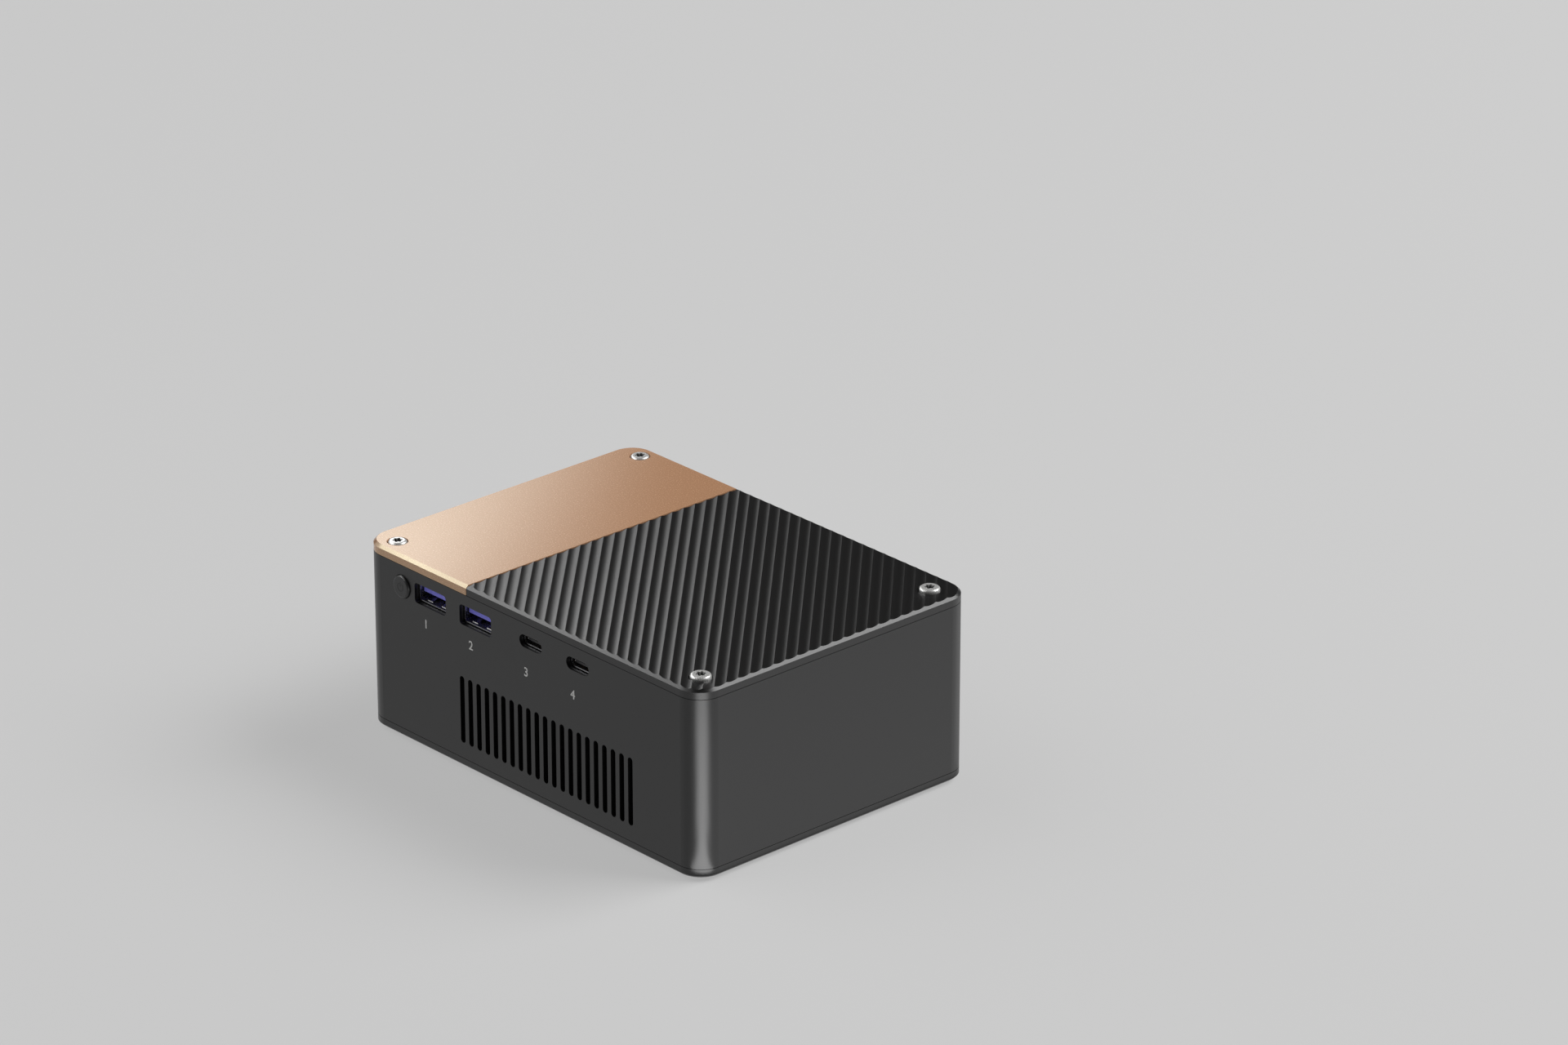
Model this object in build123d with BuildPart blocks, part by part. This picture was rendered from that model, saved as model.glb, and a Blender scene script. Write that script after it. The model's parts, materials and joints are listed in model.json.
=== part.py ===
"""External graphics card dock.

A flat desktop box: an aluminium sleeve with ports and vents, a top made of a
fluted plate and a plain accent plate, and a grilled bottom on rubber feet.
Inside are the board with its ports, the graphics chip under it with a cold
plate, heat pipes and a fin stack, and a blower that pushes air out at one end.

Frame: millimetres, +Z up, origin on the table under the middle of the box.
The port side with the button faces -Y and the accent plate is at the -X end.
"""
import os
from collections import namedtuple
from math import ceil, floor, sqrt

from build123d import *

os.makedirs("parts", exist_ok=True)

# Housing
BODY_WIDTH = 145.0
BODY_DEPTH = 104.0
BODY_HEIGHT = 57.6
CORNER_RADIUS = 7.5
WALL = 3.0
TOP_THICKNESS = 3.0
BOTTOM_THICKNESS = 2.5
EDGE_CHAMFER = 0.9
BOTTOM_CHAMFER = 0.6
SEAM_GAP = 0.15
SEAM_DEPTH = 0.4

# Feet
FOOT_STAND = 1.2
FOOT_RADIUS = 6.0
FOOT_SEAT = 1.0
FOOT_INSET_X = 21.0
FOOT_INSET_Y = 13.0
FOOT_EDGE = 0.4

# Top plates: the accent plate meets the fluted cover in a tongue and groove
ACCENT_LENGTH = 46.2
JOINT_GAP = 0.25
TONGUE_DROP = 1.4
TONGUE_THICKNESS = 0.9
TONGUE_LENGTH = 2.0
TONGUE_CLEARANCE = 0.1
TONGUE_END_INSET = 6.0
RIB_THICKNESS = 1.5
RIB_HEIGHT = 2.0
RIB_GAP = 0.2
RIB_END_GAP = 3.0

# Flutes of the cover, at 45 degrees, with narrow lands left between them
FLUTE_PITCH = 3.12
FLUTE_DEPTH = 0.25
FLUTE_LAND = 0.1

# Screws of the housing and the bosses that take them
ACCENT_SCREW_INSET_X = 8.9
ACCENT_SCREW_INSET_Y = 5.65
COVER_SCREW_INSET_X = 8.4
COVER_SCREW_INSET_Y = 8.6
BOSS_RADIUS = 2.6
WEB_WIDTH = 4.0
SCREW_RADIUS = 1.2
TAP_GAP = 0.05
SCREW_HOLE_GAP = 0.3
HEAD_GAP = 0.35
SCREW_GRIP = 6.0
Head = namedtuple("Head", "radius height edge")
ACCENT_HEAD = Head(radius=2.8, height=1.5, edge=0.75)
ACCENT_SEAT_DEPTH = 1.1
COVER_HEAD = Head(radius=3.05, height=1.7, edge=0.85)
COVER_SEAT_DEPTH = 0.8
BOTTOM_HEAD = Head(radius=2.5, height=1.1, edge=0.55)
BOTTOM_SEAT_DEPTH = 1.3
LOBE_COUNT = 6
LOBE_RADIUS = 0.42
LOBE_REACH = 1.1
RECESS_SHARE = 0.75
HEX_REACH = 0.9

# Vents
VENT_LIFT = 7.5
VENT_LENGTH = 21.0
SIDE_VENT_WIDTH = 2.0
SIDE_VENT_PITCH = 3.64
SIDE_VENT_COUNT = 21
SIDE_VENT_INSET = 43.7
END_VENT_WIDTH = 5.6
END_VENT_PITCH = 7.1
END_VENT_MARGIN = 6.2
GRILLE_SLOT_LENGTH = 25.0
GRILLE_SLOT_WIDTH = 2.4
GRILLE_ROW_PITCH = 5.2
GRILLE_ROWS = 11
GRILLE_COLUMN_GAP = 5.0

# Board
BOARD_DROP = 14.8
BOARD_THICKNESS = 1.6
BOARD_GAP = 0.5
LUG_WIDTH = 7.0
LUG_REACH = 6.0
LUG_HEIGHT = 5.0
LUG_AFTER_PORTS = 12.0
BOARD_SCREW_RADIUS = 0.95
BOARD_HEAD = Head(radius=2.1, height=1.2, edge=0.3)
BOARD_SCREW_GRIP = 3.5

# Ports: sizes of the shells, drop of their middles below the top, gaps along the wall
PORT_RECESS = 1.6
PORT_GAP = 0.35
PORT_FIT = 0.05
PORT_BLOCK = 4.0
PORT_BACK = 1.2
PORT_WALL_GAP = 0.3
USB_WIDTH = 13.2
USB_HEIGHT = 5.5
USB_CORNER = 0.7
USB_DEPTH = 14.0
USB_SHEET = 0.35
USB_DROP = 9.6
USB_GAP = 6.8
SMALL_WIDTH = 8.95
SMALL_HEIGHT = 3.2
SMALL_DEPTH = 8.5
SMALL_SHEET = 0.3
SMALL_DROP = 8.65
SMALL_GAP = 11.25
USB_TO_SMALL = 13.1
LINK_WIDTH = 14.0
LINK_HEIGHT = 3.4
LINK_CUT = 1.3
LINK_DEPTH = 9.0
LINK_DROP = 11.75
LINK_INSET = 22.3
LINK_TO_USB = 11.5
VIDEO_SHEET = 0.35
VIDEO_1_WIDTH = 14.9
VIDEO_1_HEIGHT = 5.2
VIDEO_1_CUT = 1.9
VIDEO_1_DEPTH = 11.0
VIDEO_1_DROP = 10.1
USB_TO_VIDEO = 10.35
VIDEO_2_WIDTH = 16.8
VIDEO_2_HEIGHT = 5.4
VIDEO_2_CUT = 2.2
VIDEO_2_DEPTH = 13.0
VIDEO_2_DROP = 10.25
VIDEO_GAP = 10.9
JACK_WIDTH = 6.9
JACK_BORE_RADIUS = 3.0
JACK_BORE_DEPTH = 9.5
JACK_DEPTH = 12.0
JACK_DROP = 11.0
JACK_PIN_RADIUS = 1.0
JACK_PIN_SETBACK = 1.5
JACK_BOSS_GAP = 0.25

# Power button and its switch
BUTTON_RADIUS = 3.5
BUTTON_GAP = 0.15
BUTTON_PROUD = 0.8
BUTTON_EDGE = 0.7
BUTTON_TRAVEL = 0.4
BUTTON_DROP = 9.7
BUTTON_INSET = 17.6
BUTTON_TO_USB = 1.7
FLANGE_STEP = 0.7
FLANGE_THICKNESS = 0.8
FLANGE_GAP = 0.05
STEM_RADIUS = 1.5
STEM_LENGTH = 2.0
SWITCH_GAP = 0.1
SWITCH_WIDTH = 6.2
SWITCH_DEPTH = 3.6
SWITCH_HEADROOM = 2.4
PLUNGER_RADIUS = 1.7
PLUNGER_LENGTH = 1.0

# Chips under the board and the cooler that presses on them
SUBSTRATE_SIZE = 34.0
SUBSTRATE_THICKNESS = 1.2
DIE_LENGTH = 21.0
DIE_WIDTH = 15.0
DIE_THICKNESS = 0.8
MEMORY_LENGTH = 14.0
MEMORY_WIDTH = 12.0
MEMORY_THICKNESS = 1.1
MEMORY_GAP = 2.5
COLD_PLATE_LENGTH = 52.0
COLD_PLATE_WIDTH = 68.0
COLD_PLATE_THICKNESS = 3.0
COOLER_SCREW_INSET = 4.0
PIPE_WIDTH = 8.0
PIPE_THICKNESS = 3.2
PIPE_INNER_Y = 12.0
PIPE_OUTER_Y = 27.0
PIPE_BEND = 14.0
PIPE_END_INSET = 2.0
FIN_DEPTH = 18.0
FIN_GAP = 2.5
FIN_SIDE_GAP = 0.75
FIN_LIFT = 1.5
FIN_THICKNESS = 0.4
FIN_PITCH = 2.4
FIN_PLATE = 0.6

# Coils and capacitors on the board
COIL_SIZE = 7.0
COIL_HEIGHT = 4.0
COIL_PITCH = 9.0
COIL_ROWS = 4
COIL_INSET = 13.0
CAPACITOR_RADIUS = 3.1
CAPACITOR_HEIGHT = 6.0
CAPACITOR_INSET = 29.0

# Blower
FAN_SIDE_GAP = 9.0
FAN_HEADROOM = 3.0
MOUTH_GAP = 0.5
TRAY_WALL = 1.5
TRAY_FLOOR = 1.2
FAN_LID = 1.0
SCROLL_GAP = 5.0
EYE_LAP = 8.0
ARM_WIDTH = 5.0
ARM_COUNT = 3
EAR_RADIUS = 3.5
FAN_SCREW_RADIUS = 0.9
FAN_HEAD = Head(radius=1.9, height=1.2, edge=0.3)
FAN_SCREW_GRIP = 1.8
BLADE_GAP = 1.5
BLADE_COUNT = 27
BLADE_CHORD = 13.0
BLADE_SWEEP = 14.0
BLADE_SAG = 2.0
BLADE_THICKNESS = 0.9
DISC_THICKNESS = 1.0
HUB_RADIUS = 14.0
HUB_WALL = 1.3
HUB_CAP = 2.5
HUB_ROOF = 1.5
MAGNET_THICKNESS = 1.8
MAGNET_HEIGHT = 7.0
MAGNET_FIT = 0.05
AIR_GAP = 0.8
SHAFT_RADIUS = 1.5
BEARING_GAP = 0.05
BEARING_RADIUS = 3.2
BEARING_TOP_GAP = 1.0
COLLAR_WIDTH = 1.2
STATOR_HEIGHT = 6.0
STATOR_SLOTS = 6
STATOR_SLOT_RADIUS = 1.6

# Levels, from the table up
BASE = FOOT_STAND
FRAME_BOTTOM = BASE + BOTTOM_THICKNESS
TOP = BASE + BODY_HEIGHT
FRAME_TOP = TOP - TOP_THICKNESS
FRAME_HEIGHT = FRAME_TOP - FRAME_BOTTOM
BOARD_TOP = TOP - BOARD_DROP
BOARD_BOTTOM = BOARD_TOP - BOARD_THICKNESS
DIE_BOTTOM = BOARD_BOTTOM - SUBSTRATE_THICKNESS - DIE_THICKNESS
PLATE_BOTTOM = DIE_BOTTOM - COLD_PLATE_THICKNESS
PIPE_BOTTOM = PLATE_BOTTOM - PIPE_THICKNESS
FAN_ROOF = PIPE_BOTTOM - FAN_HEADROOM
TRAY_INSIDE = FRAME_BOTTOM + TRAY_FLOOR
BLADE_BOTTOM = TRAY_INSIDE + BLADE_GAP
BLADE_TOP = FAN_ROOF - FAN_LID - BLADE_GAP
BLADE_MIDDLE = (BLADE_BOTTOM + BLADE_TOP) / 2
HUB_TOP = BLADE_MIDDLE + HUB_CAP
ROOF_BOTTOM = HUB_TOP - HUB_ROOF
STATOR_BOTTOM = ROOF_BOTTOM - (MAGNET_HEIGHT + STATOR_HEIGHT) / 2
VENT_MIDDLE = BASE + VENT_LIFT + VENT_LENGTH / 2

# Places across the box
LEFT = -BODY_WIDTH / 2
RIGHT = BODY_WIDTH / 2
FRONT = -BODY_DEPTH / 2
REAR = BODY_DEPTH / 2
INNER_WIDTH = BODY_WIDTH - 2 * WALL
INNER_DEPTH = BODY_DEPTH - 2 * WALL
INNER_RADIUS = CORNER_RADIUS - WALL
ACCENT_RIGHT = LEFT + ACCENT_LENGTH
COVER_LEFT = ACCENT_RIGHT + JOINT_GAP
ACCENT_SCREW_X = LEFT + ACCENT_SCREW_INSET_X
ACCENT_SCREW_Y = REAR - ACCENT_SCREW_INSET_Y
COVER_SCREW_X = RIGHT - COVER_SCREW_INSET_X
COVER_SCREW_Y = REAR - COVER_SCREW_INSET_Y
FIN_LEFT = LEFT + WALL + FIN_GAP
FIN_RIGHT = FIN_LEFT + FIN_DEPTH
FIN_HALF = ACCENT_SCREW_Y - BOSS_RADIUS - FIN_SIDE_GAP
FAN_X = (FIN_RIGHT + RIGHT - WALL) / 2
FAN_HALF = INNER_DEPTH / 2 - FAN_SIDE_GAP
MOUTH_X = FIN_RIGHT + MOUTH_GAP
ROTOR_RADIUS = FAN_HALF - TRAY_WALL - SCROLL_GAP
EYE_RADIUS = ROTOR_RADIUS - EYE_LAP
MAGNET_OUTER = HUB_RADIUS - HUB_WALL - MAGNET_FIT
STATOR_RADIUS = MAGNET_OUTER - MAGNET_THICKNESS - AIR_GAP
TAP_RADIUS = SCREW_RADIUS + TAP_GAP

# Places along the front wall, from the button onwards
BUTTON_X = LEFT + BUTTON_INSET
FLANGE_RADIUS = BUTTON_RADIUS + FLANGE_STEP
USB_1_X = BUTTON_X + FLANGE_RADIUS + BUTTON_TO_USB + USB_WIDTH / 2
USB_2_X = USB_1_X + USB_WIDTH + USB_GAP
SMALL_1_X = USB_2_X + USB_WIDTH / 2 + USB_TO_SMALL + SMALL_WIDTH / 2
SMALL_2_X = SMALL_1_X + SMALL_WIDTH + SMALL_GAP

# Places along the rear wall, from the accent end onwards
LINK_X = LEFT + LINK_INSET
REAR_USB_X = LINK_X + LINK_WIDTH / 2 + LINK_TO_USB + USB_WIDTH / 2
VIDEO_1_X = REAR_USB_X + USB_WIDTH / 2 + USB_TO_VIDEO + VIDEO_1_WIDTH / 2
VIDEO_2_X = VIDEO_1_X + VIDEO_1_WIDTH / 2 + VIDEO_GAP + VIDEO_2_WIDTH / 2
JACK_X = COVER_SCREW_X - BOSS_RADIUS - JACK_BOSS_GAP - JACK_WIDTH / 2

ACCENT_SCREWS = [(ACCENT_SCREW_X, -ACCENT_SCREW_Y), (ACCENT_SCREW_X, ACCENT_SCREW_Y)]
COVER_SCREWS = [(COVER_SCREW_X, -COVER_SCREW_Y), (COVER_SCREW_X, COVER_SCREW_Y)]
VIDEO_2_END = VIDEO_2_X + VIDEO_2_WIDTH / 2
JACK_START = JACK_X - JACK_WIDTH / 2
LUGS = [
    (USB_2_X + USB_WIDTH / 2 + USB_TO_SMALL / 2, -1),
    (SMALL_2_X + SMALL_WIDTH / 2 + LUG_AFTER_PORTS, -1),
    (LINK_X + LINK_WIDTH / 2 + LINK_TO_USB / 2, 1),
    ((VIDEO_2_END + JACK_START) / 2, 1),
]
LUG_Y = INNER_DEPTH / 2 - LUG_REACH / 2
BOARD_SCREWS = [(x, side * LUG_Y) for x, side in LUGS]
COOLER_SCREWS = [
    (FAN_X + sx * (COLD_PLATE_LENGTH / 2 - COOLER_SCREW_INSET),
     sy * (COLD_PLATE_WIDTH / 2 - COOLER_SCREW_INSET))
    for sx in (-1, 1) for sy in (-1, 1)
]
EAR_REACH = FAN_HALF + EAR_RADIUS / 2
FAN_SCREWS = [
    (FAN_X + EAR_REACH, 0),
    (MOUTH_X + EAR_RADIUS, EAR_REACH),
    (MOUTH_X + EAR_RADIUS, -EAR_REACH),
]

BOTTOM_ALIGN = (Align.CENTER, Align.CENTER, Align.MIN)
TOP_ALIGN = (Align.CENTER, Align.CENTER, Align.MAX)


def write(builder, name):
    """Label a finished piece and write it as its own file."""
    builder.part.label = name
    export_step(builder.part, f"parts/{name}.step")


def at_level(places, level):
    """The same places across the box, at one height."""
    return [(x, y, level) for x, y in places]


def wall_plane(wall, across, height, inset=0.0):
    """Plane in a wall as seen from outside: x to the right, y up, z out of the wall."""
    if wall == "front":
        return Plane((across, FRONT + inset, height), x_dir=(1, 0, 0), z_dir=(0, -1, 0))
    if wall == "rear":
        return Plane((across, REAR - inset, height), x_dir=(-1, 0, 0), z_dir=(0, 1, 0))
    return Plane((LEFT + inset, across, height), x_dir=(0, -1, 0), z_dir=(-1, 0, 0))


# Port outlines, drawn in the current sketch and grown or shrunk all round

def usb_outline(grow=0.0, mode=Mode.ADD):
    RectangleRounded(USB_WIDTH + 2 * grow, USB_HEIGHT + 2 * grow, USB_CORNER + grow, mode=mode)


def small_outline(grow=0.0, mode=Mode.ADD):
    SlotOverall(SMALL_WIDTH + 2 * grow, SMALL_HEIGHT + 2 * grow, mode=mode)


def bevelled_outline(width, height, cut, both, grow, mode):
    """Rectangle with one or both lower corners cut at 45 degrees."""
    across = width / 2 + grow
    up = height / 2 + grow
    bevel = cut + grow * (2 - sqrt(2))
    corners = [(-across, up), (-across, bevel - up), (bevel - across, -up)]
    if both:
        corners += [(across - bevel, -up), (across, bevel - up)]
    else:
        corners += [(across, -up)]
    corners += [(across, up)]
    Polygon(*corners, align=None, mode=mode)


def link_outline(grow=0.0, mode=Mode.ADD):
    bevelled_outline(LINK_WIDTH, LINK_HEIGHT, LINK_CUT, True, grow, mode)


def video_1_outline(grow=0.0, mode=Mode.ADD):
    bevelled_outline(VIDEO_1_WIDTH, VIDEO_1_HEIGHT, VIDEO_1_CUT, True, grow, mode)


def video_2_outline(grow=0.0, mode=Mode.ADD):
    bevelled_outline(VIDEO_2_WIDTH, VIDEO_2_HEIGHT, VIDEO_2_CUT, False, grow, mode)


Tongue = namedtuple("Tongue", "width thickness rise setback")
Port = namedtuple("Port", "name wall across drop outline height depth sheet tongue")

USB_TONGUE = Tongue(width=11.2, thickness=1.8, rise=1.0, setback=0.9)
SMALL_TONGUE = Tongue(width=6.7, thickness=0.7, rise=0.0, setback=0.5)
LINK_TONGUE = Tongue(width=10.2, thickness=0.9, rise=0.1, setback=0.6)
VIDEO_1_TONGUE = Tongue(width=10.6, thickness=1.0, rise=0.5, setback=0.8)
VIDEO_2_TONGUE = Tongue(width=12.8, thickness=1.1, rise=0.6, setback=0.8)

PORTS = [
    Port("usb_front_1", "front", USB_1_X, USB_DROP, usb_outline, USB_HEIGHT, USB_DEPTH, USB_SHEET,
         USB_TONGUE),
    Port("usb_front_2", "front", USB_2_X, USB_DROP, usb_outline, USB_HEIGHT, USB_DEPTH, USB_SHEET,
         USB_TONGUE),
    Port("usb_rear", "rear", REAR_USB_X, USB_DROP, usb_outline, USB_HEIGHT, USB_DEPTH, USB_SHEET,
         USB_TONGUE),
    Port("small_port_1", "front", SMALL_1_X, SMALL_DROP, small_outline, SMALL_HEIGHT, SMALL_DEPTH,
         SMALL_SHEET, SMALL_TONGUE),
    Port("small_port_2", "front", SMALL_2_X, SMALL_DROP, small_outline, SMALL_HEIGHT, SMALL_DEPTH,
         SMALL_SHEET, SMALL_TONGUE),
    Port("link_port", "rear", LINK_X, LINK_DROP, link_outline, LINK_HEIGHT, LINK_DEPTH, VIDEO_SHEET,
         LINK_TONGUE),
    Port("video_port_1", "rear", VIDEO_1_X, VIDEO_1_DROP, video_1_outline, VIDEO_1_HEIGHT,
         VIDEO_1_DEPTH, VIDEO_SHEET, VIDEO_1_TONGUE),
    Port("video_port_2", "rear", VIDEO_2_X, VIDEO_2_DROP, video_2_outline, VIDEO_2_HEIGHT,
         VIDEO_2_DEPTH, VIDEO_SHEET, VIDEO_2_TONGUE),
]

# Body frame: the sleeve between the plates
with BuildPart() as body_frame:
    with BuildSketch(Plane.XY.offset(FRAME_BOTTOM)):
        RectangleRounded(BODY_WIDTH - 2 * SEAM_DEPTH, BODY_DEPTH - 2 * SEAM_DEPTH,
                         CORNER_RADIUS - SEAM_DEPTH)
    extrude(amount=FRAME_HEIGHT)
    with BuildSketch(Plane.XY.offset(FRAME_BOTTOM + SEAM_GAP)):
        RectangleRounded(BODY_WIDTH, BODY_DEPTH, CORNER_RADIUS)
    extrude(amount=FRAME_HEIGHT - 2 * SEAM_GAP)
    with BuildSketch(Plane.XY.offset(FRAME_BOTTOM)):
        RectangleRounded(INNER_WIDTH, INNER_DEPTH, INNER_RADIUS)
    extrude(amount=FRAME_HEIGHT, mode=Mode.SUBTRACT)

    # Screw bosses, each joined to its wall by a web
    y_web = INNER_DEPTH / 2 + WALL / 2 - ACCENT_SCREW_Y
    x_web = INNER_WIDTH / 2 + WALL / 2 - COVER_SCREW_X
    with BuildSketch(Plane.XY.offset(FRAME_BOTTOM)):
        with Locations(*ACCENT_SCREWS, *COVER_SCREWS):
            Circle(BOSS_RADIUS)
        for side in (-1, 1):
            with Locations((ACCENT_SCREW_X, side * (ACCENT_SCREW_Y + y_web / 2))):
                Rectangle(WEB_WIDTH, y_web)
            with Locations((COVER_SCREW_X + x_web / 2, side * COVER_SCREW_Y)):
                Rectangle(x_web, WEB_WIDTH)
    extrude(amount=FRAME_HEIGHT)
    with Locations(*at_level(ACCENT_SCREWS + COVER_SCREWS, FRAME_BOTTOM)):
        Cylinder(TAP_RADIUS, FRAME_HEIGHT, align=BOTTOM_ALIGN, mode=Mode.SUBTRACT)

    # Lugs that carry the board
    lug_length = LUG_REACH + WALL / 2
    with BuildSketch(Plane.XY.offset(BOARD_BOTTOM)):
        for x, side in LUGS:
            with Locations((x, side * (INNER_DEPTH / 2 + WALL / 2 - lug_length / 2))):
                Rectangle(LUG_WIDTH, lug_length)
    extrude(amount=-LUG_HEIGHT)
    with Locations(*at_level(BOARD_SCREWS, BOARD_BOTTOM)):
        Cylinder(BOARD_SCREW_RADIUS + TAP_GAP, LUG_HEIGHT, align=TOP_ALIGN, mode=Mode.SUBTRACT)

    # Port openings, the button's hole and the jack's hole
    for port in PORTS:
        with BuildSketch(wall_plane(port.wall, port.across, TOP - port.drop)):
            port.outline(PORT_GAP)
        extrude(amount=-WALL, mode=Mode.SUBTRACT)
    with BuildSketch(wall_plane("front", BUTTON_X, TOP - BUTTON_DROP)):
        Circle(BUTTON_RADIUS + BUTTON_GAP)
    extrude(amount=-WALL, mode=Mode.SUBTRACT)
    with BuildSketch(wall_plane("rear", JACK_X, TOP - JACK_DROP)):
        Circle(JACK_WIDTH / 2 + PORT_GAP)
    extrude(amount=-WALL, mode=Mode.SUBTRACT)

    # Vents: narrow slots in the long walls, wide ones at the accent end
    vent_middle_x = LEFT + SIDE_VENT_INSET + SIDE_VENT_PITCH * (SIDE_VENT_COUNT - 1) / 2
    for wall in ("front", "rear"):
        with BuildSketch(wall_plane(wall, vent_middle_x, VENT_MIDDLE)):
            with GridLocations(SIDE_VENT_PITCH, 0, SIDE_VENT_COUNT, 1):
                SlotOverall(VENT_LENGTH, SIDE_VENT_WIDTH, rotation=90)
        extrude(amount=-WALL, mode=Mode.SUBTRACT)
    end_vent_room = BODY_DEPTH - 2 * END_VENT_MARGIN - END_VENT_WIDTH
    end_vent_count = floor(end_vent_room / END_VENT_PITCH) + 1
    with BuildSketch(wall_plane("end", 0, VENT_MIDDLE)):
        with GridLocations(END_VENT_PITCH, 0, end_vent_count, 1):
            SlotOverall(VENT_LENGTH, END_VENT_WIDTH, rotation=90)
    extrude(amount=-WALL, mode=Mode.SUBTRACT)
write(body_frame, "body_frame")

# Accent plate: plain, with a tongue along the joint
rib_y = INNER_DEPTH / 2 - RIB_GAP - RIB_THICKNESS / 2
with BuildPart() as accent_plate:
    with BuildSketch(Plane.XY.offset(FRAME_TOP)):
        RectangleRounded(BODY_WIDTH, BODY_DEPTH, CORNER_RADIUS)
        with Locations((ACCENT_RIGHT, 0)):
            Rectangle(BODY_WIDTH, BODY_DEPTH, align=(Align.MIN, Align.CENTER), mode=Mode.SUBTRACT)
    extrude(amount=TOP_THICKNESS)
    rim = accent_plate.faces().sort_by(Axis.Z)[-1].edges().sort_by(Axis.X)[:-1]
    chamfer(rim, EDGE_CHAMFER)
    tongue_width = BODY_DEPTH - 2 * TONGUE_END_INSET
    with Locations((ACCENT_RIGHT, 0, TOP - TONGUE_DROP)):
        Box(TONGUE_LENGTH, tongue_width, TONGUE_THICKNESS, align=(Align.MIN, Align.CENTER, Align.MAX))
    with Locations(*at_level(ACCENT_SCREWS, TOP)):
        CounterBoreHole(SCREW_RADIUS + SCREW_HOLE_GAP, ACCENT_HEAD.radius + HEAD_GAP, ACCENT_SEAT_DEPTH,
                        TOP_THICKNESS)
    rib_start = ACCENT_SCREW_X + BOSS_RADIUS + RIB_END_GAP
    rib_length = ACCENT_RIGHT - RIB_END_GAP - rib_start
    with Locations((rib_start, -rib_y, FRAME_TOP), (rib_start, rib_y, FRAME_TOP)):
        Box(rib_length, RIB_THICKNESS, RIB_HEIGHT, align=(Align.MIN, Align.CENTER, Align.MAX))
write(accent_plate, "accent_plate")

# Fluted cover: arcs cut at 45 degrees across the plate and through its chamfer
with BuildPart() as top_cover:
    with BuildSketch(Plane.XY.offset(FRAME_TOP)):
        RectangleRounded(BODY_WIDTH, BODY_DEPTH, CORNER_RADIUS)
        with Locations((COVER_LEFT, 0)):
            Rectangle(BODY_WIDTH, BODY_DEPTH, align=(Align.MAX, Align.CENTER), mode=Mode.SUBTRACT)
    extrude(amount=TOP_THICKNESS)
    rim = top_cover.faces().sort_by(Axis.Z)[-1].edges().sort_by(Axis.X)[1:]
    chamfer(rim, EDGE_CHAMFER)

    first_flute = floor((COVER_LEFT + FRONT) / sqrt(2) / FLUTE_PITCH)
    last_flute = ceil((RIGHT + REAR) / sqrt(2) / FLUTE_PITCH)
    across_flutes = Plane((0, 0, TOP), x_dir=(1, 1, 0), z_dir=(1, -1, 0))
    with BuildSketch(across_flutes):
        for flute in range(first_flute, last_flute):
            near = flute * FLUTE_PITCH + FLUTE_LAND / 2
            far = (flute + 1) * FLUTE_PITCH - FLUTE_LAND / 2
            with BuildLine():
                ThreePointArc((near, 0), ((near + far) / 2, -FLUTE_DEPTH), (far, 0))
                Polyline((far, 0), (far, FLUTE_DEPTH), (near, FLUTE_DEPTH), (near, 0))
            make_face()
    extrude(amount=BODY_WIDTH + BODY_DEPTH, both=True, mode=Mode.SUBTRACT)

    groove_width = tongue_width + 2 * TONGUE_CLEARANCE
    groove_height = TONGUE_THICKNESS + 2 * TONGUE_CLEARANCE
    groove_length = TONGUE_LENGTH + TONGUE_CLEARANCE
    with Locations((COVER_LEFT, 0, TOP - TONGUE_DROP + TONGUE_CLEARANCE)):
        Box(groove_length, groove_width, groove_height, align=(Align.MIN, Align.CENTER, Align.MAX),
            mode=Mode.SUBTRACT)
    with Locations(*at_level(COVER_SCREWS, TOP)):
        CounterBoreHole(SCREW_RADIUS + SCREW_HOLE_GAP, COVER_HEAD.radius + HEAD_GAP, COVER_SEAT_DEPTH,
                        TOP_THICKNESS)
    rib_start = COVER_LEFT + RIB_END_GAP
    rib_length = COVER_SCREW_X - BOSS_RADIUS - RIB_END_GAP - rib_start
    with Locations((rib_start, -rib_y, FRAME_TOP), (rib_start, rib_y, FRAME_TOP)):
        Box(rib_length, RIB_THICKNESS, RIB_HEIGHT, align=(Align.MIN, Align.CENTER, Align.MAX))
write(top_cover, "top_cover")

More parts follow.
